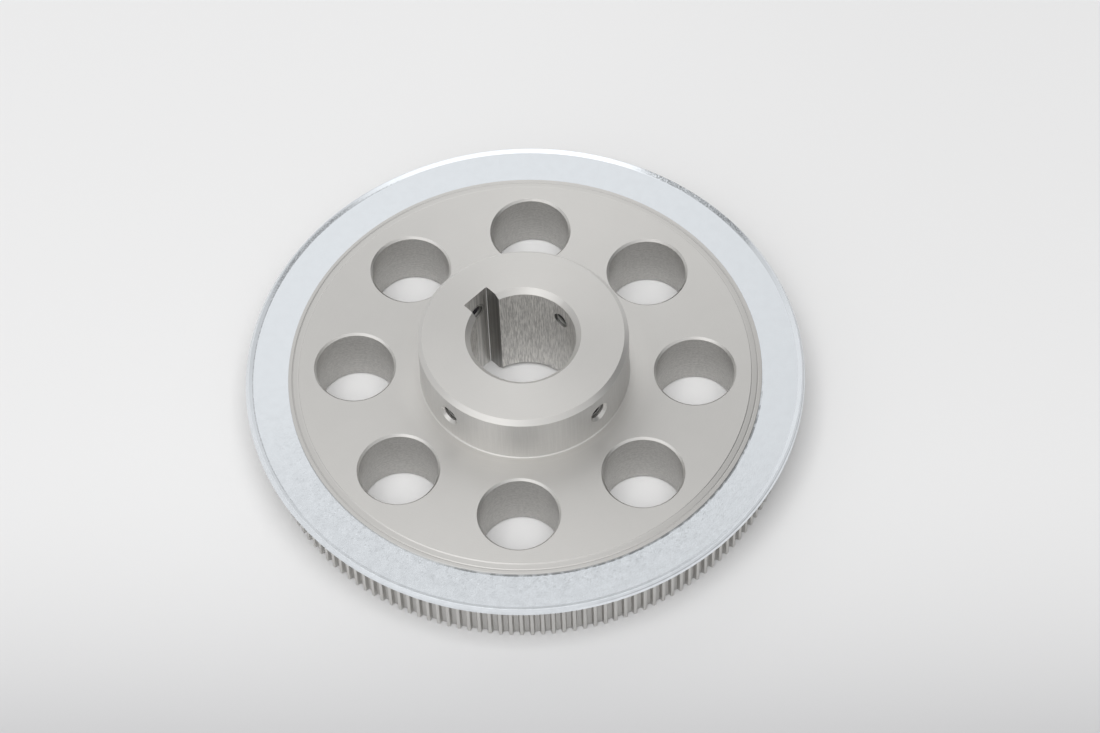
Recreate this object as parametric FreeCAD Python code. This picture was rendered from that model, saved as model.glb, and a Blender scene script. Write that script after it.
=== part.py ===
import FreeCAD, Part
import math
import os

from FreeCAD import Vector

# Timing belt pulley with one flange and four radial set screws. Sizes are in millimetres.
# The origin is on the bore's axis at the back face of the disc. +Z runs along the bore
# towards the hub's nose, and +Y points at the keyway.

os.makedirs("parts", exist_ok=True)

# Belt teeth: S-profile grooves, 2 mm pitch
belt_pitch = 2.0
tooth_count = 160
pitch_line_offset = 0.254
groove_width = 1.30
groove_depth = 0.76
groove_flank_r = 1.325
tooth_tip_r = 0.20
face_width = 11.6

# Hub and bore
hub_d = 40.0
hub_rise = 11.5
hub_chamfer = 0.9
hub_foot_r = 0.3
bore_d = 20.0
bore_chamfer = 1.0

# Keyway
keyway_width = 6.0
keyway_depth = 2.9
keyway_corner_r = 0.25

# Lightening holes in the disc
web_hole_count = 8
web_hole_d = 15.0
web_hole_chamfer = 0.4
web_hole_phase = -2.0
rim_depth = 4.9

# Flange, its seat and the lip rolled over it
seat_width = 5.9
flange_thickness = 1.2
flange_clearance = 0.03
flange_overhang = 2.86
flare_width = 1.43
flare_angle = 33.0
flange_rim_r = 0.12
flange_cut_depth = 0.66
flange_cut_taper = 6.5
lip_width = 1.28
lip_height = 0.7
lip_groove_offset = 0.45
lip_groove_height = 0.32
lip_groove_run = 0.17
lip_bead_height = 0.39
lip_bead_rise = 0.2
lip_bead_fall = 0.05
lip_slope_width = 1.27
lip_slope_drop = 0.115
lip_step = 0.15
lip_edge_r = 0.12
lip_groove_edge_r = 0.06

# Tapped holes, M4
thread_pitch = 0.7
thread_minor_d = 3.3
thread_major_d = 4.0
thread_crest_flat = thread_pitch / 4
thread_root_flat = thread_pitch / 8
thread_mouth_chamfer = 0.6
set_screw_rise = 5.9

# Set screws
screw_clearance = 0.04
screw_groove_depth = 0.26
screw_end_chamfer = 0.3
screw_cup_d = 1.8
screw_rim_d = 2.1
screw_cup_half_angle = 59.0
hex_across_flats = 2.0
hex_depth = 2.2
shaft_screw_setback = 0.8
shaft_screw_recess = 1.2
key_screw_setback = 0.5
key_screw_recess = 0.6

# Which way the screws point, round from +X, and how far cutters and joined solids run past a face
shaft_screw_angles = (0, 180, 270)
key_screw_angle = 90
overlap = 1.0

# Sizes that follow
tip_r = belt_pitch * tooth_count / (2 * math.pi) - pitch_line_offset
root_r = tip_r - groove_depth
core_r = root_r - overlap
spigot_r = root_r - seat_width
flange_top = face_width + flange_thickness
disc_thickness = flange_top + lip_height
lip_r = spigot_r + lip_width
lip_groove_r = spigot_r + lip_groove_offset
lip_start_r = lip_groove_r - lip_slope_width
hub_r = hub_d / 2
bore_r = bore_d / 2
hub_top = disc_thickness + hub_rise
key_floor_r = bore_r + keyway_depth
web_hole_r = web_hole_d / 2
web_circle_r = (hub_r + root_r - rim_depth) / 2
screw_z = disc_thickness + set_screw_rise
thread_r = thread_minor_d / 2
screw_r = thread_r - screw_clearance

z_axis = Vector(0, 0, 1)
origin = Vector(0, 0, 0)


def rounded_wire(corners):
    """Closed wire in the XZ plane through (r, z, fillet radius) corners."""
    starts = []
    ends = []
    middles = []
    count = len(corners)
    for i, (r, z, fillet) in enumerate(corners):
        here = Vector(r, 0, z)
        if fillet == 0:
            starts.append(here)
            ends.append(here)
            middles.append(None)
            continue
        before = Vector(corners[i - 1][0], 0, corners[i - 1][1]) - here
        after = Vector(corners[(i + 1) % count][0], 0, corners[(i + 1) % count][1]) - here
        before.normalize()
        after.normalize()
        half = before.getAngle(after) / 2
        reach = fillet / math.tan(half)
        inward = before + after
        inward.normalize()
        starts.append(here + before * reach)
        ends.append(here + after * reach)
        middles.append(here + inward * (fillet / math.sin(half) - fillet))
    edges = []
    for i in range(count):
        if middles[i] is not None:
            edges.append(Part.Arc(starts[i], middles[i], ends[i]).toShape())
        edges.append(Part.makeLine(ends[i], starts[(i + 1) % count]))
    return Part.Wire(edges)


def revolved(corners):
    """Solid of revolution about Z from (r, z, fillet) corners."""
    return Part.Face(rounded_wire(corners)).revolve(origin, z_axis, 360)


def turned(shape, degrees):
    """Copy of a shape, turned about Z."""
    copy = shape.copy()
    copy.rotate(origin, z_axis, degrees)
    return copy


def mirrored(point):
    """Point on the other side of the X axis."""
    return Vector(point.x, -point.y, 0)


def circle_crossing(far, far_r, near_r):
    """Crossing, on the +Y side, of a circle about the origin with a circle about a point on +X."""
    span = far.Length
    along = (near_r ** 2 - far_r ** 2 + span ** 2) / (2 * span)
    across = math.sqrt(near_r ** 2 - along ** 2)
    line = Vector(far)
    line.normalize()
    return line * along + Vector(-line.y, line.x, 0) * across


def arc_about(centre, start, end):
    """Short arc from start to end about a centre."""
    middle = (start + end) * 0.5 - centre
    middle.normalize()
    return Part.Arc(start, centre + middle * (start - centre).Length, end).toShape()


def tooth_arcs():
    """Arcs of one pitch of the outline, from a groove on +X to the end of the tip land after it."""
    flank_centre = Vector(tip_r, groove_width / 2 - groove_flank_r, 0)
    round_centre = circle_crossing(flank_centre, groove_flank_r + tooth_tip_r, tip_r - tooth_tip_r)
    root_corner = circle_crossing(flank_centre, groove_flank_r, root_r)
    to_round = round_centre - flank_centre
    to_round.normalize()
    flank_end = flank_centre + to_round * groove_flank_r
    outward = Vector(round_centre)
    outward.normalize()
    land_start = outward * tip_r
    land_end = FreeCAD.Rotation(z_axis, 360 / tooth_count).multVec(mirrored(land_start))
    return [
        arc_about(mirrored(round_centre), mirrored(land_start), mirrored(flank_end)),
        arc_about(mirrored(flank_centre), mirrored(flank_end), mirrored(root_corner)),
        arc_about(origin, mirrored(root_corner), root_corner),
        arc_about(flank_centre, root_corner, flank_end),
        arc_about(round_centre, flank_end, land_start),
        arc_about(origin, land_start, land_end),
    ]


def toothed_ring():
    """Ring that carries the belt teeth, as wide as the belt face."""
    arcs = tooth_arcs()
    edges = []
    for i in range(tooth_count):
        for arc in arcs:
            edges.append(turned(arc, 360 * i / tooth_count))
    prism = Part.Face(Part.Wire(edges)).extrude(Vector(0, 0, face_width))
    return prism.cut(Part.makeCylinder(core_r - overlap, face_width))


def ring_thread(radius, depth, start, end):
    """(r, z, 0) corners of ring grooves: a positive depth cuts outwards, a negative one inwards."""
    corners = []
    flank = (thread_pitch - thread_crest_flat - thread_root_flat) / 2
    count = int((end - start) / thread_pitch)
    first = (start + end - count * thread_pitch + thread_crest_flat) / 2
    for i in range(count):
        z = first + i * thread_pitch
        corners.append((radius, z, 0))
        corners.append((radius + depth, z + flank, 0))
        corners.append((radius + depth, z + flank + thread_root_flat, 0))
        corners.append((radius, z + 2 * flank + thread_root_flat, 0))
    return corners


def laid_radially(shape, degrees):
    """Shape whose Z axis is laid along the radius at the given angle, at the screws' height."""
    copy = shape.copy()
    copy.rotate(origin, Vector(0, 1, 0), 90)
    copy.rotate(origin, z_axis, degrees)
    copy.translate(Vector(0, 0, screw_z))
    return copy


def tapped_hole(inner_r):
    """Cutter for a tapped hole through the hub wall, along +Z, from inner_r to past the hub."""
    mouth_r = thread_r + thread_mouth_chamfer
    mouth_start = hub_r - thread_mouth_chamfer
    vee_depth = (thread_major_d - thread_minor_d) / 2
    corners = [(0, inner_r - overlap, 0), (thread_r, inner_r - overlap, 0)]
    corners += ring_thread(thread_r, vee_depth, inner_r, mouth_start)
    corners += [(thread_r, mouth_start, 0), (mouth_r, hub_r, 0)]
    corners += [(mouth_r, hub_r + overlap, 0), (0, hub_r + overlap, 0)]
    return revolved(corners)


def set_screw(tip_at, end_at):
    """Cup-point socket set screw along +Z, its tip at tip_at and its socket end at end_at."""
    rim_r = screw_rim_d / 2
    cup_r = screw_cup_d / 2
    point_length = screw_r - rim_r
    cup_depth = cup_r / math.tan(math.radians(screw_cup_half_angle))
    thread_start = tip_at + point_length
    thread_end = end_at - screw_end_chamfer
    corners = [(0, tip_at + cup_depth, 0), (cup_r, tip_at, 0), (rim_r, tip_at, 0)]
    corners += [(screw_r, thread_start, 0)]
    corners += ring_thread(screw_r, -screw_groove_depth, thread_start, thread_end)
    corners += [(screw_r, thread_end, 0), (screw_r - screw_end_chamfer, end_at, 0)]
    corners += [(0, end_at, 0)]
    corner_r = hex_across_flats / 2 / math.cos(math.pi / 6)
    points = [Vector(corner_r * math.cos(math.pi / 3 * i), corner_r * math.sin(math.pi / 3 * i),
                     end_at - hex_depth) for i in range(7)]
    socket = Part.Face(Part.makePolygon(points)).extrude(Vector(0, 0, hex_depth + overlap))
    return revolved(corners).cut(socket)


def pulley_blank():
    """Disc, hub, bore, flange seat and rolled lip, without teeth, keyway or holes."""
    return revolved([
        (bore_r + bore_chamfer, 0, 0),
        (core_r, 0, 0),
        (core_r, face_width, 0),
        (spigot_r, face_width, 0),
        (spigot_r, flange_top, 0),
        (lip_r, flange_top, 0),
        (lip_r, flange_top + lip_bead_height - lip_bead_fall, lip_edge_r),
        (lip_groove_r + lip_bead_rise, flange_top + lip_bead_height, lip_groove_edge_r),
        (lip_groove_r, flange_top + lip_groove_height, lip_groove_edge_r),
        (lip_groove_r - lip_groove_run, disc_thickness - lip_step - lip_slope_drop, lip_groove_edge_r),
        (lip_start_r + lip_step, disc_thickness - lip_step, lip_groove_edge_r),
        (lip_start_r, disc_thickness, lip_groove_edge_r),
        (hub_r, disc_thickness, hub_foot_r),
        (hub_r, hub_top - hub_chamfer, 0),
        (hub_r - hub_chamfer, hub_top, 0),
        (bore_r + bore_chamfer, hub_top, 0),
        (bore_r, hub_top - bore_chamfer, 0),
        (bore_r, bore_chamfer, 0),
    ])


def keyway_cutter():
    """Bar that cuts the keyway from the bore towards +Y, with rounded floor corners."""
    side = keyway_width / 2
    bar = Part.makeBox(keyway_width, key_floor_r, hub_top + 2 * overlap, Vector(-side, 0, -overlap))
    corners = [(-side, key_floor_r), (side, key_floor_r)]
    floor_edges = [e for e in bar.Edges
                   if (round(e.CenterOfMass.x, 6), round(e.CenterOfMass.y, 6)) in
                   [(round(x, 6), round(y, 6)) for x, y in corners]]
    return bar.makeFillet(keyway_corner_r, floor_edges)


def web_hole_cutter():
    """Cutter for one lightening hole, chamfered on both faces, on its own Z axis."""
    wide = web_hole_r + web_hole_chamfer
    return revolved([
        (0, -overlap, 0),
        (wide, -overlap, 0),
        (wide, 0, 0),
        (web_hole_r, web_hole_chamfer, 0),
        (web_hole_r, disc_thickness - web_hole_chamfer, 0),
        (wide, disc_thickness, 0),
        (wide, disc_thickness + overlap, 0),
        (0, disc_thickness + overlap, 0),
    ])


def pulley_body():
    """Aluminium pulley body: toothed rim, disc, hub, bore, keyway and holes in one piece."""
    body = pulley_blank()
    cutters = [keyway_cutter()]
    hole = web_hole_cutter()
    hole.translate(Vector(web_circle_r, 0, 0))
    for i in range(web_hole_count):
        cutters.append(turned(hole, web_hole_phase + 360 * i / web_hole_count))
    for degrees in shaft_screw_angles:
        cutters.append(laid_radially(tapped_hole(bore_r), degrees))
    cutters.append(laid_radially(tapped_hole(key_floor_r), key_screw_angle))
    for cutter in cutters:
        body = body.cut(cutter)
    return body.fuse(toothed_ring()).removeSplitter()


def flange():
    """Plated steel flange ring, flared away from the belt, with a cut edge that breaks away below."""
    lean = math.radians(flare_angle)
    taper = math.radians(flange_cut_taper)
    inner_r = spigot_r + flange_clearance
    outer_r = tip_r + flange_overhang
    bend_r = outer_r - flare_width
    bend_shift = flange_thickness * math.tan(lean / 2)
    rim_r = outer_r - flange_thickness * math.sin(lean)
    rim_z = flange_top + (rim_r - bend_r) * math.tan(lean)
    break_r = rim_r + flange_cut_depth * math.sin(lean)
    break_z = rim_z - flange_cut_depth * math.cos(lean)
    torn_depth = flange_thickness - flange_cut_depth
    setback = torn_depth * math.tan(taper)
    foot_r = outer_r - setback * math.cos(lean)
    foot_z = rim_z - flange_thickness * math.cos(lean) - setback * math.sin(lean)
    return revolved([
        (inner_r, face_width, 0),
        (bend_r + bend_shift, face_width, 0),
        (foot_r, foot_z, 0),
        (break_r, break_z, 0),
        (rim_r, rim_z, flange_rim_r),
        (bend_r, flange_top, 0),
        (inner_r, flange_top, 0),
    ])


nodes = {"pulley_body": pulley_body(), "flange": flange()}
shaft_screw = set_screw(bore_r + shaft_screw_setback, hub_r - shaft_screw_recess)
for number, degrees in enumerate(shaft_screw_angles, 1):
    nodes[f"set_screw_{number}"] = laid_radially(shaft_screw, degrees)
key_screw = set_screw(key_floor_r + key_screw_setback, hub_r - key_screw_recess)
nodes["key_set_screw"] = laid_radially(key_screw, key_screw_angle)

for name, shape in nodes.items():
    solid = shape.Solids[0]
    print(name, len(shape.Solids), "solid", len(solid.Faces), "faces", round(solid.Volume, 2), "mm3",
          "valid" if solid.isValid() else "NOT VALID")
    solid.exportStep(f"parts/{name}.step")
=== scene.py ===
import math

import bpy
from mathutils import Matrix, Vector


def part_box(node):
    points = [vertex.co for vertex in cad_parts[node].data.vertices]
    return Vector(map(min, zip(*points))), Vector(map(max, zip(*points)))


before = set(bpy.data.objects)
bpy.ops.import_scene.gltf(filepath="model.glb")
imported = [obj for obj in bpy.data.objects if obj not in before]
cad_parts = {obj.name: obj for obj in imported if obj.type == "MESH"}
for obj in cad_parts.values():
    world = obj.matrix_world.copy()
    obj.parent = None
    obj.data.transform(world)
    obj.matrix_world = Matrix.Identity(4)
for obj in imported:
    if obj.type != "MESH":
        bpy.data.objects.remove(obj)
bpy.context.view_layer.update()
print("frame loaded:", sorted(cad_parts))

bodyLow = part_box("pulley_body")[0]

# The camera and the lights stand round the pulley's own axis, turned so that the keyway
# is at the upper left. Directions in the looks below are given before this turn.
studioTurn = Matrix.Rotation(math.radians(-43.3), 4, "Z")

# where the finishes change, in millimetres from the axis and above the back face
pulleySizes = {
    "boreRadius": 10.0,
    "hubRadius": 20.0,
    "lipStart": 43.2,
    "lipGroove": 44.47,
    "lipRadius": 45.3,
    "toothRoot": 49.9,
    "toothTip": 50.68,
    "beltFace": 11.6,
    "flareStart": 52.1,
    "flareCorner": 53.1,  # the flared sheet ends here and its cut edge begins
    "cutBreak": 12.9,  # height at which the cut edge breaks away
    "keyHalfWidth": 3.0,
    "keyFloor": 12.9,
    "screwHeight": 19.4,  # the tapped holes' middle
    "threadInner": 1.65,
    "threadOuter": 2.0,
}


def plug(tree, socket, value):
    if isinstance(value, bpy.types.NodeSocket):
        tree.links.new(value, socket)
    else:
        socket.default_value = value


def addNode(tree, kind, settings=None, **inputs):
    node = tree.nodes.new(kind)
    for name, value in (settings or {}).items():
        setattr(node, name, value)
    for name, value in inputs.items():
        plug(tree, node.inputs[name.replace("_", " ")], value)
    return node


def mathNode(tree, operation, *values, clamp=False):
    node = tree.nodes.new("ShaderNodeMath")
    node.operation = operation
    node.use_clamp = clamp
    for socket, value in zip(node.inputs, values):
        plug(tree, socket, value)
    return node.outputs[0]


def multiply(tree, *values):
    result = values[0]
    for value in values[1:]:
        result = mathNode(tree, "MULTIPLY", result, value)
    return result


def vectorNode(tree, operation, *values):
    node = tree.nodes.new("ShaderNodeVectorMath")
    node.operation = operation
    for socket, value in zip(node.inputs, values):
        plug(tree, socket, value)
    return node


def rampBetween(tree, value, low, high, toLow=0.0, toHigh=1.0):
    node = tree.nodes.new("ShaderNodeMapRange")
    node.interpolation_type = "SMOOTHSTEP"
    plug(tree, node.inputs["Value"], value)
    plug(tree, node.inputs["From Min"], low)
    plug(tree, node.inputs["From Max"], high)
    plug(tree, node.inputs["To Min"], toLow)
    plug(tree, node.inputs["To Max"], toHigh)
    return node.outputs["Result"]


def insideBand(tree, value, low, high, soft=0.08):
    rising = rampBetween(tree, value, low - soft, low + soft)
    falling = rampBetween(tree, value, high - soft, high + soft, 1.0, 0.0)
    return multiply(tree, rising, falling)


def mixColor(tree, amount, first, second):
    node = addNode(tree, "ShaderNodeMix", {"data_type": "RGBA"})
    plug(tree, node.inputs[0], amount)
    plug(tree, node.inputs[6], first)
    plug(tree, node.inputs[7], second)
    return node.outputs[2]


def scaleVector(tree, vector, factor):
    node = vectorNode(tree, "SCALE", vector)
    plug(tree, node.inputs["Scale"], factor)
    return node.outputs[0]


def split(tree, vector):
    return addNode(tree, "ShaderNodeSeparateXYZ", Vector=vector).outputs


# the direction from the pulley's axis, not yet of unit length
def fromAxis(tree, place):
    parts = split(tree, place)
    return addNode(tree, "ShaderNodeCombineXYZ", X=parts["X"], Y=parts["Y"]).outputs[0]


def length(tree, vector):
    return vectorNode(tree, "LENGTH", vector).outputs["Value"]


def dot(tree, vector, towards):
    return vectorNode(tree, "DOT_PRODUCT", vector, towards).outputs["Value"]


def addUp(tree, *values):
    result = values[0]
    for value in values[1:]:
        result = mathNode(tree, "ADD", result, value)
    return result


# base + mask * amount
def lifted(tree, base, mask, amount):
    return mathNode(tree, "MULTIPLY_ADD", mask, amount, base)


def newMaterial(name):
    material = bpy.data.materials.new(name)
    material.use_nodes = True
    material.node_tree.nodes.clear()
    return material


def finishNode(nodeName, material):
    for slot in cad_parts[nodeName].material_slots:
        slot.material = material


def newGroup(name, inputs, outputs):
    group = bpy.data.node_groups.new(name, "ShaderNodeTree")
    for socketName, kind in inputs.items():
        group.interface.new_socket(socketName, in_out="INPUT", socket_type="NodeSocket" + kind)
    for socketName, kind in outputs.items():
        group.interface.new_socket(socketName, in_out="OUTPUT", socket_type="NodeSocket" + kind)
    return group, group.nodes.new("NodeGroupInput").outputs, group.nodes.new("NodeGroupOutput").inputs


def useGroup(tree, group, **inputs):
    return addNode(tree, "ShaderNodeGroup", {"node_tree": group}, **inputs).outputs


# cloudy grain or sparse specks: a noise cut between two levels
def makeGrainGroup():
    group, given, result = newGroup(
        "grain", {"Vector": "Vector", "Scale": "Float", "Low": "Float", "High": "Float"}, {"Mask": "Float"})
    noise = addNode(group, "ShaderNodeTexNoise", Vector=given["Vector"], Scale=given["Scale"], Detail=3.0,
                    Roughness=0.6)
    plug(group, result["Mask"], rampBetween(group, noise.outputs[0], given["Low"], given["High"]))
    return group


# lathe marks: rings that change with the radius and lines that change with the height
def makeTurningGroup():
    group, given, result = newGroup(
        "turningMarks", {"Vector": "Vector", "Per mm": "Float"}, {"Rings": "Float", "Lines": "Float"})
    radius = length(group, fromAxis(group, given["Vector"]))
    for name, along in (("Rings", radius), ("Lines", split(group, given["Vector"])["Z"])):
        noise = addNode(group, "ShaderNodeTexNoise", {"noise_dimensions": "1D"}, W=along,
                        Scale=given["Per mm"], Detail=2.0, Roughness=0.7)
        plug(group, result[name], noise.outputs[0])
    return group


# streaks on a round surface: a noise stretched round the axis or along it, with no seam
def makeStreakGroup():
    group, given, result = newGroup(
        "roundStreaks", {"Vector": "Vector", "Round": "Float", "Along": "Float", "Outward": "Float"},
        {"Value": "Float"})
    flat = fromAxis(group, given["Vector"])
    facing = vectorNode(group, "NORMALIZE", flat).outputs[0]
    reach = lifted(group, given["Round"], length(group, flat), given["Outward"])
    rise = multiply(group, split(group, given["Vector"])["Z"], given["Along"])
    up = addNode(group, "ShaderNodeCombineXYZ", Z=rise).outputs[0]
    place = vectorNode(group, "ADD", scaleVector(group, facing, reach), up).outputs[0]
    noise = addNode(group, "ShaderNodeTexNoise", Vector=place, Scale=1.0, Detail=3.0, Roughness=0.65)
    plug(group, result["Value"], noise.outputs[0])
    return group


# corners and creases: on the aluminium and the zinc this mask gives a painted highlight along the edges, on
# the black oxide it marks where handling has worn it
def makeEdgeGroup():
    group, given, result = newGroup("wornAndHighlitEdges", {"Width": "Float"}, {"Mask": "Float"})
    softened = addNode(group, "ShaderNodeBevel", {"samples": 4}, Radius=given["Width"]).outputs[0]
    sharp = addNode(group, "ShaderNodeNewGeometry").outputs["Normal"]
    plug(group, result["Mask"], rampBetween(group, dot(group, softened, sharp), 0.99, 0.80))
    return group


grainGroup = makeGrainGroup()
turningGroup = makeTurningGroup()
streakGroup = makeStreakGroup()
edgeGroup = makeEdgeGroup()


def millimetres(tree):
    return scaleVector(tree, addNode(tree, "ShaderNodeTexCoord").outputs["Object"], 1000.0)


# 1 near a direction round the axis, falling to 0 at halfWidth degrees from it
def sector(tree, place, degrees, halfWidth, soft):
    facing = vectorNode(tree, "NORMALIZE", fromAxis(tree, place)).outputs[0]
    angle = math.radians(degrees)
    towards = studioTurn.to_3x3() @ Vector((math.cos(angle), math.sin(angle), 0))
    outer = math.cos(math.radians(halfWidth))
    inner = math.cos(math.radians(max(halfWidth - soft, 0)))
    return rampBetween(tree, dot(tree, facing, tuple(towards)), outer, inner)


aluminiumLook = {
    "color": (0.670, 0.660, 0.640, 1),
    "roughness": 0.41,
    "wallRoughness": 0.08,
    "hubWallRoughness": 0.18,
    "anisotropic": 0.65,
    "anisotropicTurn": 0.25,
    "ringRoughness": 0.05,
    "bumpDistance": 0.00002,
    "bumpStrength": 0.35,
    "bumpGrain": 0.25,
    "faceTilt": (0.85, 0.97),  # how upright a normal is where flat faces fade in
    "wallTilt": (0.10, 0.35),  # and where walls fade out
    "keySideTilt": (0.6, 0.8),
    "ringsPerMm": 3.2,
    "mottleDepth": 0.02,
    "ringDepth": 0.03,
    "arcDepth": 0.03,
    "broadRingsPerMm": 0.9,
    "footRingDepth": 0.07,
    "streakDepth": 0.05,
    "hubLineDepth": 0.06,
    "boreStreakDepth": 0.46,
    "keyLinesPerMm": 2.0,
    "keyLineDepth": 0.34,
    "holeStreakDepth": 0.32,
    "holeGrainDepth": 0.16,
    "footPaintedLight": 0.15,
    "footLitSide": (-80, 120, 45),
    "edgeWidth": 0.00022,
    "edgeHighlight": 0.16,
    "pitDepth": 0.35,
    "uprightStreaks": {"Round": 60.0, "Along": 0.12},
    "boreStreaks": {"Round": 46.0, "Along": 0.42},
    "faceArcs": {"Round": 0.0, "Along": 0.0, "Outward": 0.05},
    "mottle": {"Scale": 0.16, "Low": 0.2, "High": 0.8},
    "grain": {"Scale": 7.0, "Low": 0.25, "High": 0.75},
    "wallGrain": {"Scale": 2.2, "Low": 0.3, "High": 0.7},
    "pits": {"Scale": 1.9, "Low": 0.77, "High": 0.81},
    # painted light and shade: each level multiplies the colour over its region. It is darker where shade
    # falls in the web holes, keyway sides, threads, tooth grooves and lip groove, lighter on the keyway
    # floor, its corner line and the bore, and a little darker on the lip and hub wall
    "paintedLightAndShade": {
        "holeWall": 0.88,
        "keyFloor": 1.14,
        "keySide": 0.58,
        "keyCorner": 1.7,
        "bore": 1.11,
        "hubWall": 0.97,
        "toothGroove": 0.80,
        "thread": 0.70,
        "lip": 0.94,
        "lipGroove": 0.92,
    },
}


def makeAluminium():
    look = aluminiumLook
    size = pulleySizes
    material = newMaterial("machinedAluminium")
    tree = material.node_tree
    place = millimetres(tree)
    normal = addNode(tree, "ShaderNodeTexCoord").outputs["Normal"]
    x, y, z = split(tree, place)
    radius = length(tree, fromAxis(tree, place))
    upright = mathNode(tree, "ABSOLUTE", split(tree, normal)["Z"])
    face = rampBetween(tree, upright, *look["faceTilt"])
    wall = rampBetween(tree, upright, *look["wallTilt"], 1.0, 0.0)
    sideX = mathNode(tree, "ABSOLUTE", x)
    sideY = mathNode(tree, "ABSOLUTE", y)

    boreRadius = size["boreRadius"]
    pastBore = rampBetween(tree, radius, boreRadius + 0.02, boreRadius + 0.12)
    bore = multiply(tree, wall, mathNode(tree, "SUBTRACT", 1.0, pastBore))

    keyEdge = size["keyHalfWidth"]
    keyEnd = size["keyFloor"]
    keySpan = rampBetween(tree, sideX, keyEdge + 0.05, keyEdge + 0.2, 1.0, 0.0)
    keyDepth = insideBand(tree, y, boreRadius - 0.4, keyEnd + 0.3)
    keyway = multiply(tree, wall, keySpan, keyDepth, pastBore)
    sideways = mathNode(tree, "ABSOLUTE", split(tree, normal)["X"])
    keySide = multiply(tree, keyway, rampBetween(tree, sideways, *look["keySideTilt"]))
    keyFloor = mathNode(tree, "SUBTRACT", keyway, keySide)
    keyCorner = multiply(tree, keyway, rampBetween(tree, sideX, keyEdge - 0.18, keyEdge - 0.10),
                         rampBetween(tree, y, keyEnd - 0.18, keyEnd - 0.10))

    hubRadius = size["hubRadius"]
    hubWall = multiply(tree, wall, insideBand(tree, radius, hubRadius - 0.3, hubRadius + 0.3))
    holeWall = multiply(tree, wall, insideBand(tree, radius, hubRadius + 2.0, size["lipStart"] - 1.6))

    toothRoot = size["toothRoot"]
    beltFace = size["beltFace"]
    toothGroove = multiply(tree, rampBetween(tree, radius, toothRoot, size["toothTip"], 1.0, 0.0),
                           rampBetween(tree, radius, toothRoot - 0.2, toothRoot - 0.05),
                           rampBetween(tree, z, beltFace, beltFace + 0.05, 1.0, 0.0))

    # the tapped holes lie on the X and Y axes
    nearest = mathNode(tree, "MINIMUM", sideX, sideY)
    fromHeight = mathNode(tree, "SUBTRACT", z, size["screwHeight"])
    fromScrewLine = length(tree, addNode(tree, "ShaderNodeCombineXYZ", X=nearest, Y=fromHeight).outputs[0])
    threadOuter = size["threadOuter"]
    tapped = rampBetween(tree, fromScrewLine, threadOuter + 0.05, threadOuter + 0.15, 1.0, 0.0)
    thread = multiply(tree, tapped, insideBand(tree, radius, boreRadius + 0.3, hubRadius - 0.65),
                      rampBetween(tree, fromScrewLine, size["threadInner"] + 0.02, threadOuter))

    groove = size["lipGroove"]
    aboveBelt = rampBetween(tree, z, beltFace + 0.5, beltFace + 1.2)
    lip = multiply(tree, rampBetween(tree, radius, size["lipStart"], size["lipStart"] + 0.6), aboveBelt)
    lipGroove = multiply(tree, insideBand(tree, radius, groove - 0.12, groove + 0.2, 0.12), aboveBelt)

    masks = {
        "lip": lip,
        "lipGroove": lipGroove,
        "holeWall": holeWall,
        "keyFloor": keyFloor,
        "keySide": keySide,
        "keyCorner": keyCorner,
        "bore": bore,
        "hubWall": hubWall,
        "toothGroove": toothGroove,
        "thread": thread,
    }
    # the regions' painted light and shade
    shade = 1.0
    for name, mask in masks.items():
        shade = multiply(tree, shade, rampBetween(tree, mask, 0.0, 1.0, 1.0, look["paintedLightAndShade"][name]))

    turning = useGroup(tree, turningGroup, Vector=place, Per_mm=look["ringsPerMm"])
    broadRings = useGroup(tree, turningGroup, Vector=place, Per_mm=look["broadRingsPerMm"])["Rings"]
    uprightStreaks = useGroup(tree, streakGroup, Vector=place, **look["uprightStreaks"])["Value"]
    uprightStreaks = rampBetween(tree, uprightStreaks, 0.32, 0.68)
    boreStreaks = useGroup(tree, streakGroup, Vector=place, **look["boreStreaks"])["Value"]
    boreStreaks = rampBetween(tree, boreStreaks, 0.34, 0.66)
    faceArcs = useGroup(tree, streakGroup, Vector=place, **look["faceArcs"])["Value"]
    mottle = useGroup(tree, grainGroup, Vector=place, **look["mottle"])["Mask"]
    grain = useGroup(tree, grainGroup, Vector=place, **look["grain"])["Mask"]
    wallGrain = useGroup(tree, grainGroup, Vector=place, **look["wallGrain"])["Mask"]
    keyLines = addNode(tree, "ShaderNodeTexNoise", {"noise_dimensions": "1D"}, W=addUp(tree, x, y),
                       Scale=look["keyLinesPerMm"], Detail=2.0, Roughness=0.7).outputs[0]
    keyLines = rampBetween(tree, keyLines, 0.3, 0.7)
    pits = useGroup(tree, grainGroup, Vector=place, **look["pits"])["Mask"]
    edges = useGroup(tree, edgeGroup, Width=look["edgeWidth"])["Mask"]

    nearFoot = multiply(tree, rampBetween(tree, radius, hubRadius + 0.5, hubRadius + 6.0, 1.0, 0.0),
                        rampBetween(tree, radius, hubRadius, hubRadius + 0.1))
    # each pattern is taken about its middle, so that its depth doesn't change the mean
    patterns = [
        (mottle, look["mottleDepth"], 1.0),
        (turning["Rings"], look["ringDepth"], face),
        (broadRings, look["footRingDepth"], multiply(tree, face, nearFoot)),
        (faceArcs, look["arcDepth"], face),
        (turning["Lines"], look["hubLineDepth"], hubWall),
        (uprightStreaks, look["streakDepth"], hubWall),
        (boreStreaks, look["boreStreakDepth"], bore),
        (keyLines, look["keyLineDepth"], keyway),
        (turning["Lines"], look["holeStreakDepth"], holeWall),
        (wallGrain, look["holeGrainDepth"], holeWall),
    ]
    factor = 1.0
    for pattern, depth, where in patterns:
        factor = lifted(tree, factor, mathNode(tree, "SUBTRACT", pattern, 0.5), multiply(tree, where, depth))
    # a painted highlight along the edges, on top of the regions' painted light and shade
    factor = lifted(tree, multiply(tree, factor, shade), edges, look["edgeHighlight"])
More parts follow.
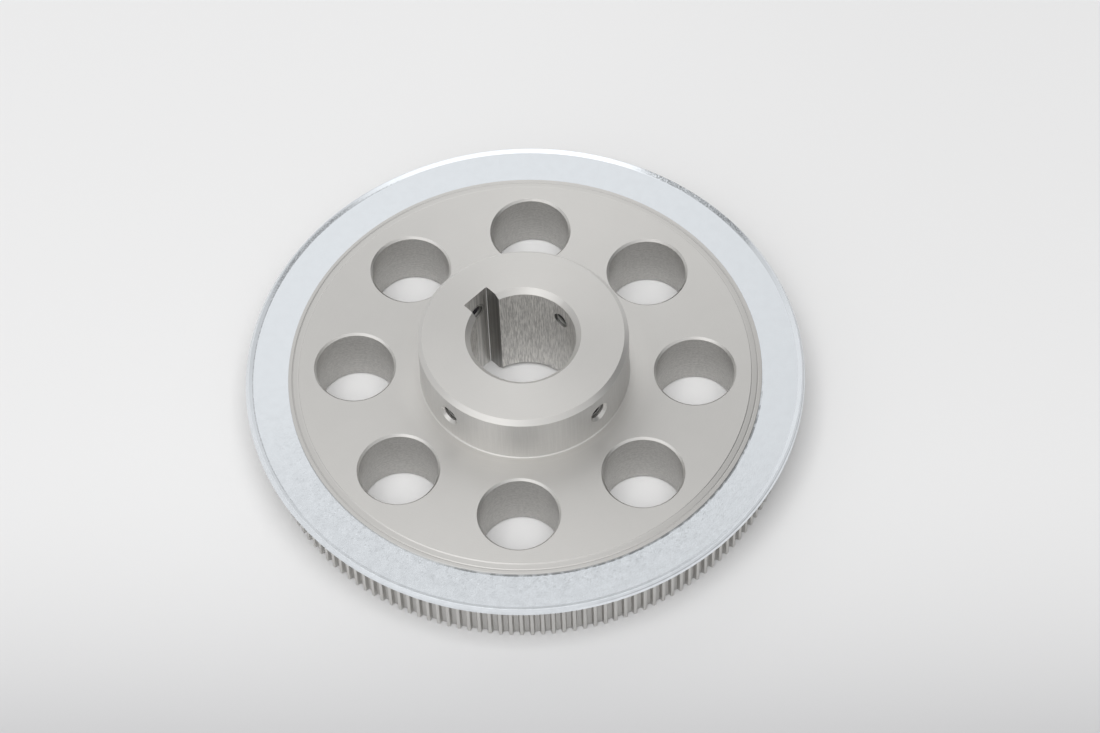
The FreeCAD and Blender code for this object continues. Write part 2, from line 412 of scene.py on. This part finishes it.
    # painted light: the web is lightened near the foot of the hub on the near side
    foot = multiply(tree, nearFoot, face, sector(tree, place, *look["footLitSide"]))
    factor = lifted(tree, factor, foot, look["footPaintedLight"])
    pitted = mathNode(tree, "SUBTRACT", 1.0, multiply(tree, pits, face, look["pitDepth"]))
    color = scaleVector(tree, look["color"][:3], multiply(tree, factor, pitted))

    roughness = lifted(tree, look["roughness"], mathNode(tree, "SUBTRACT", turning["Rings"], 0.5),
                       look["ringRoughness"])
    roughness = lifted(tree, roughness, addUp(tree, bore, holeWall), look["wallRoughness"])
    roughness = lifted(tree, roughness, hubWall, look["hubWallRoughness"])
    height = addUp(tree, multiply(tree, turning["Rings"], face), multiply(tree, turning["Lines"], wall),
                   multiply(tree, boreStreaks, addUp(tree, bore, keyway)),
                   multiply(tree, grain, look["bumpGrain"]))
    bump = addNode(tree, "ShaderNodeBump", Height=height, Strength=look["bumpStrength"],
                   Distance=look["bumpDistance"])
    around = addNode(tree, "ShaderNodeTangent", {"direction_type": "RADIAL", "axis": "Z"})
    surface = addNode(tree, "ShaderNodeBsdfPrincipled", Base_Color=color, Metallic=1.0, Roughness=roughness,
                      Anisotropic=look["anisotropic"], Anisotropic_Rotation=look["anisotropicTurn"],
                      Tangent=around.outputs[0], Normal=bump.outputs[0])
    addNode(tree, "ShaderNodeOutputMaterial", Surface=surface.outputs[0])
    return material


# A side is a direction round the axis, half the width on each side of it and how much of
# that fades out, all in degrees. A mark multiplies the color by its level. The marks are painted light and
# shade on the flange: painted dark streaky reflections and a darker painted reflection band on the flare,
# painted shade along the bend, by the lip and on the cut edge, a painted highlight low on the cut edge, and
# a little painted shade on the near flare.
zincLook = {
    "color": (0.775, 0.81, 0.845, 1),
    "roughness": 0.21,
    "blotchRoughness": 0.05,
    "blotchDepth": 0.08,
    "grainDepth": 0.05,
    "crackleDepth": 0.12,
    "speckDepth": 0.35,
    "paintedGlintLift": 0.16,
    "edgeWidth": 0.00015,
    "edgeHighlight": 0.05,
    "bumpDistance": 0.00003,
    "bumpStrength": 0.5,
    "bumpRings": 0.5,
    "ringsPerMm": 2.6,
    "mottledSide": (-98, 86, 56),
    "mottleElsewhere": 0.10,
    "innerRing": {"from": 47.6, "to": 50.6, "outside": 0.35},
    "rimSide": (-100, 140, 42),
    "rimMetallic": 0.35,
    "blotches": {"Scale": 0.55, "Low": 0.3, "High": 0.75},
    "grain": {"Scale": 4.5, "Low": 0.3, "High": 0.75},
    "crackle": {"Scale": 1.6, "Low": 0.50, "High": 0.72},
    "specks": {"Scale": 2.4, "Low": 0.70, "High": 0.76},
    "glints": {"Scale": 3.0, "Low": 0.62, "High": 0.70},
    "reflectionStreaks": {"Round": 110.0, "Along": 0.4, "Outward": 0.4},
    "lightAndShadeMarks": {
        "darkReflectionStreaks": {"level": 0.36, "side": (47, 20, 14)},
        "innerDarkReflection": {"level": 0.50, "side": (143, 20, 14)},
        "darkReflectionBand": {"level": 0.95, "side": (150, 34, 14)},
        "bendShade": {"level": 0.62, "side": (165, 52, 10)},
        "lipShadow": {"level": 0.42, "side": (-60, 58, 16)},
        "cutShadow": {"level": 0.55, "side": (-25, 60, 20)},
        "cutGlow": {"level": 1.14, "side": (-52, 36, 14)},
        "nearFlareShade": {"level": 0.96, "side": (-100, 140, 42)},
    },
}


def makeZinc():
    look = zincLook
    size = pulleySizes
    material = newMaterial("brightZinc")
    tree = material.node_tree
    place = millimetres(tree)
    z = split(tree, place)["Z"]
    radius = length(tree, fromAxis(tree, place))
    blotches = useGroup(tree, grainGroup, Vector=place, **look["blotches"])["Mask"]
    grain = useGroup(tree, grainGroup, Vector=place, **look["grain"])["Mask"]
    crackle = useGroup(tree, grainGroup, Vector=place, **look["crackle"])["Mask"]
    specks = useGroup(tree, grainGroup, Vector=place, **look["specks"])["Mask"]
    glints = useGroup(tree, grainGroup, Vector=place, **look["glints"])["Mask"]
    reflectionStreaks = useGroup(tree, streakGroup, Vector=place, **look["reflectionStreaks"])["Value"]
    rings = useGroup(tree, turningGroup, Vector=place, Per_mm=look["ringsPerMm"])["Rings"]
    edges = useGroup(tree, edgeGroup, Width=look["edgeWidth"])["Mask"]

    # the plating is mottled on one side and most of all near the rolled lip
    mottled = sector(tree, place, *look["mottledSide"])
    ring = look["innerRing"]
    nearLip = rampBetween(tree, radius, ring["from"], ring["to"], 1.0, ring["outside"])
    crackle = multiply(tree, crackle, nearLip)
    specks = multiply(tree, specks, nearLip)
    amount = lifted(tree, look["mottleElsewhere"], mottled, 1.0 - look["mottleElsewhere"])
    dulling = addUp(tree, multiply(tree, blotches, amount, look["blotchDepth"]),
                    multiply(tree, grain, amount, look["grainDepth"]),
                    multiply(tree, crackle, mottled, look["crackleDepth"]),
                    multiply(tree, specks, amount, look["speckDepth"]))
    factor = mathNode(tree, "SUBTRACT", 1.0, dulling)
    # painted glints: bright specks near the lip on the mottled side
    factor = lifted(tree, factor, multiply(tree, glints, nearLip, mottled), look["paintedGlintLift"])

    bend = size["flareStart"]
    corner = size["flareCorner"]
    cutBreak = size["cutBreak"]
    lipRadius = size["lipRadius"]
    flare = rampBetween(tree, radius, bend - 0.1, bend + 0.2)
    innerFlare = rampBetween(tree, radius, bend + 0.35, bend + 0.75, 1.0, 0.0)
    cutEdge = rampBetween(tree, radius, corner, corner + 0.1)
    streakyReflection = multiply(tree, flare, rampBetween(tree, grain, 0.22, 0.48, 0.3, 1.0),
                       rampBetween(tree, reflectionStreaks, 0.30, 0.52, 0.55, 1.0))
    # where each painted light and shade mark falls
    masks = {
        "darkReflectionStreaks": streakyReflection,
        "innerDarkReflection": multiply(tree, streakyReflection, innerFlare),
        "darkReflectionBand": flare,
        "bendShade": multiply(tree, insideBand(tree, radius, bend - 0.12, bend + 0.12, 0.05),
                             rampBetween(tree, grain, 0.25, 0.6, 0.3, 1.0)),
        "lipShadow": multiply(tree, insideBand(tree, radius, lipRadius, lipRadius + 0.32, 0.1),
                              rampBetween(tree, blotches, 0.15, 0.6, 0.45, 1.0)),
        "cutShadow": multiply(tree, cutEdge, insideBand(tree, z, cutBreak - 0.16, cutBreak, 0.05)),
        "cutGlow": multiply(tree, cutEdge, rampBetween(tree, z, cutBreak - 0.3, cutBreak - 0.2, 1.0, 0.0)),
        "nearFlareShade": insideBand(tree, radius, bend - 0.1, corner, 0.1),
    }
    for name, mask in masks.items():
        mark = look["lightAndShadeMarks"][name]
        shown = multiply(tree, mask, sector(tree, place, *mark["side"]))
        factor = multiply(tree, factor, rampBetween(tree, shown, 0.0, 1.0, 1.0, mark["level"]))
    # a painted highlight along the edges
    factor = lifted(tree, factor, edges, look["edgeHighlight"])
    color = scaleVector(tree, look["color"][:3], factor)

    roughness = lifted(tree, look["roughness"], blotches, look["blotchRoughness"])
    height = addUp(tree, grain, multiply(tree, rings, look["bumpRings"]))
    height = multiply(tree, mathNode(tree, "SUBTRACT", height, addUp(tree, specks, crackle)), amount)
    bump = addNode(tree, "ShaderNodeBump", Height=height, Strength=look["bumpStrength"],
                   Distance=look["bumpDistance"])
    rim = rampBetween(tree, radius, bend - 0.1, bend + 0.1)
    rim = multiply(tree, rim, sector(tree, place, *look["rimSide"]))
    metallic = rampBetween(tree, rim, 0.0, 1.0, 1.0, look["rimMetallic"])
    surface = addNode(tree, "ShaderNodeBsdfPrincipled", Base_Color=color, Metallic=metallic,
                      Roughness=roughness, Normal=bump.outputs[0])
    addNode(tree, "ShaderNodeOutputMaterial", Surface=surface.outputs[0])
    return material


oxideLook = {
    "color": (0.040, 0.037, 0.043, 1),
    "wornColor": (0.17, 0.165, 0.17, 1),
    "speckWear": 0.3,
    "edgeWidth": 0.00012,
    "edgeWear": 0.6,
    "roughness": 0.32,
    "grainRoughness": 0.12,
    "metallic": 0.6,
    "bumpDistance": 0.00002,
    "bumpStrength": 0.2,
    "grain": {"Scale": 5.0, "Low": 0.3, "High": 0.8},
    "specks": {"Scale": 3.0, "Low": 0.66, "High": 0.74},
}


def makeOxide():
    look = oxideLook
    material = newMaterial("blackOxide")
    tree = material.node_tree
    place = millimetres(tree)
    grain = useGroup(tree, grainGroup, Vector=place, **look["grain"])["Mask"]
    specks = useGroup(tree, grainGroup, Vector=place, **look["specks"])["Mask"]
    edges = useGroup(tree, edgeGroup, Width=look["edgeWidth"])["Mask"]
    worn = mathNode(tree, "MULTIPLY_ADD", specks, look["speckWear"], multiply(tree, edges, look["edgeWear"]),
                    clamp=True)
    color = mixColor(tree, worn, look["color"], look["wornColor"])
    roughness = lifted(tree, look["roughness"], grain, look["grainRoughness"])
    bump = addNode(tree, "ShaderNodeBump", Height=grain, Strength=look["bumpStrength"],
                   Distance=look["bumpDistance"])
    surface = addNode(tree, "ShaderNodeBsdfPrincipled", Base_Color=color, Metallic=look["metallic"],
                      Roughness=roughness, Normal=bump.outputs[0])
    addNode(tree, "ShaderNodeOutputMaterial", Surface=surface.outputs[0])
    return material


finishNode("pulley_body", makeAluminium())
finishNode("flange", makeZinc())
oxide = makeOxide()
for screwName in ("set_screw_1", "set_screw_2", "set_screw_3", "key_set_screw"):
    finishNode(screwName, oxide)
print("finishes on")


# The floor's colour darkens towards the near side, and a little towards the right: painted shade for the
# light falling off there. Distances are in metres.
floorLook = {
    "size": 4.0,
    "gap": 0.0001,
    "color": (0.80, 0.80, 0.802, 1),
    "nearShadeColor": (0.552, 0.552, 0.560, 1),
    "fadeFrom": -0.005,
    "fadeTo": -0.075,
    "fadePower": 2.3,
    "fadeSlant": 0.048,
    "rightFade": 0.035,
    "rightFrom": -0.02,
    "rightTo": 0.10,
    "roughness": 0.6,
}


def makeFloor():
    look = floorLook
    bpy.ops.mesh.primitive_plane_add(size=look["size"], location=(0, 0, bodyLow.z - look["gap"]))
    floor = bpy.context.object
    floor.name = "studioFloor"
    material = newMaterial("floorWithPaintedFalloff")
    tree = material.node_tree
    place = addNode(tree, "ShaderNodeTexCoord").outputs["Object"]
    toRight = tuple(studioTurn.to_3x3() @ Vector((1, 0, 0)))
    toBack = tuple(studioTurn.to_3x3() @ Vector((look["fadeSlant"], 1, 0)))
    near = addNode(tree, "ShaderNodeMapRange", Value=dot(tree, place, toBack), From_Min=look["fadeFrom"],
                   From_Max=look["fadeTo"]).outputs[0]
    near = mathNode(tree, "POWER", near, look["fadePower"])
    fadedFloorColor = mixColor(tree, near, look["color"], look["nearShadeColor"])
    right = rampBetween(tree, dot(tree, place, toRight), look["rightFrom"], look["rightTo"], 1.0,
                        1.0 - look["rightFade"])
    fadedFloorColor = scaleVector(tree, fadedFloorColor, right)
    surface = addNode(tree, "ShaderNodeBsdfPrincipled", Base_Color=fadedFloorColor, Roughness=look["roughness"])
    addNode(tree, "ShaderNodeOutputMaterial", Surface=surface.outputs[0])
    floor.data.materials.append(material)


lampLook = {
    "towards": (-0.04, -0.30, 0.95),
    "distance": 1.9,
    "size": 1.35,
    "power": 26.2,
}


# The lamp gives the soft shadow. It is hidden from mirror rays, so the metal mirrors only the room.
def makeLamp():
    look = lampLook
    data = bpy.data.lights.new("overheadSoftbox", "AREA")
    data.size = look["size"]
    data.energy = look["power"]
    lamp = bpy.data.objects.new("overheadSoftbox", data)
    place = Vector(look["towards"]).normalized() * look["distance"]
    turn = (-place).to_track_quat("-Z", "Y").to_matrix().to_4x4()
    lamp.matrix_world = studioTurn @ Matrix.Translation(place) @ turn
    lamp.visible_glossy = False
    bpy.context.scene.collection.objects.link(lamp)


# Each patch makes the room lighter or darker round a direction. Its edges are cosines from that direction.
roomLook = {
    "level": 0.80,
    "softShare": 0.50,
    "patches": [
        {"towards": (0, 0, 1), "edges": (0.80, 0.98), "change": 0.09},
        {"towards": (-0.20, 0.85, 0.50), "edges": (0.74, 0.98), "change": 0.24},
        {"towards": (0.00, 0.99, 0.10), "edges": (0.90, 0.99), "change": 0.35},
        {"towards": (-0.55, -0.62, 0.56), "edges": (0.78, 0.97), "change": 0.54},
        {"towards": (0.98, 0.12, 0.12), "edges": (0.76, 0.98), "change": -0.64},
        {"towards": (0.62, -0.64, 0.45), "edges": (0.80, 0.98), "change": -0.15},
        {"towards": (-0.69, -0.02, 0.725), "edges": (0.90, 0.985), "change": -0.10},
        {"towards": (0.46, 0.33, 0.82), "edges": (0.88, 0.985), "change": -0.34},
        {"towards": (-0.50, 0.56, 0.66), "edges": (0.88, 0.99), "change": -0.08},
    ],
    "panel": {
        "left": -0.37,
        "right": 0.55,
        "near": -0.75,
        "far": -0.18,
        "leftSoft": 0.06,
        "rightSoft": 0.16,
        "soft": 0.10,
        "above": (0.55, 0.72),
        "change": 0.66,
    },
}


def makeRoom():
    look = roomLook
    world = bpy.data.worlds.new("studioRoom")
    world.use_nodes = True
    tree = world.node_tree
    direction = addNode(tree, "ShaderNodeTexCoord").outputs["Generated"]

    def facing(towards):
        turned = studioTurn.to_3x3() @ Vector(towards).normalized()
        return dot(tree, direction, tuple(turned))

    def between(value, low, high, lowSoft, highSoft):
        rising = rampBetween(tree, value, low - lowSoft, low + lowSoft)
        return multiply(tree, rising, rampBetween(tree, value, high - highSoft, high + highSoft, 1.0, 0.0))

    level = look["level"]
    for patch in look["patches"]:
        amount = rampBetween(tree, facing(patch["towards"]), *patch["edges"])
        level = lifted(tree, level, amount, patch["change"])
    panel = look["panel"]
    inPanel = multiply(
        tree,
        between(facing((1, 0, 0)), panel["left"], panel["right"], panel["leftSoft"], panel["rightSoft"]),
        between(facing((0, 1, 0)), panel["near"], panel["far"], panel["soft"], panel["soft"]),
        rampBetween(tree, facing((0, 0, 1)), *panel["above"]))
    level = lifted(tree, level, inPanel, panel["change"])
    # matt surfaces get a share of the room's light; mirrors and the camera see it in full
    rays = addNode(tree, "ShaderNodeLightPath").outputs
    mirrored = mathNode(tree, "MAXIMUM", rays["Is Glossy Ray"], rays["Is Camera Ray"])
    mirrored = mathNode(tree, "MAXIMUM", mirrored, rays["Is Transmission Ray"])
    share = lifted(tree, look["softShare"], mirrored, 1.0 - look["softShare"])
    background = tree.nodes["Background"]
    plug(tree, background.inputs["Strength"], multiply(tree, level, share))
    background.inputs["Color"].default_value = (1, 1, 1, 1)
    bpy.context.scene.world = world


cameraLook = {
    "lens": 121.58,
    "distance": 0.7098,
    "elevation": 56.195,
    "roll": -2.405,
    "aim": (0.004818, 0.000294, 0.0135),
}


def makeCamera():
    look = cameraLook
    data = bpy.data.cameras.new("camera")
    data.lens = look["lens"]
    data.sensor_width = 36
    data.clip_start = 0.01
    camera = bpy.data.objects.new("camera", data)
    turn = (Matrix.Rotation(math.radians(90 - look["elevation"]), 4, "X")
            @ Matrix.Rotation(math.radians(look["roll"]), 4, "Z"))
    back = turn.to_3x3() @ Vector((0, 0, 1))
    place = Vector(look["aim"]) + back * look["distance"]
    camera.matrix_world = studioTurn @ Matrix.Translation(place) @ turn
    bpy.context.scene.collection.objects.link(camera)
    bpy.context.scene.camera = camera


makeFloor()
makeLamp()
makeRoom()
makeCamera()
bpy.context.scene.view_settings.view_transform = "Standard"
print("studio set")
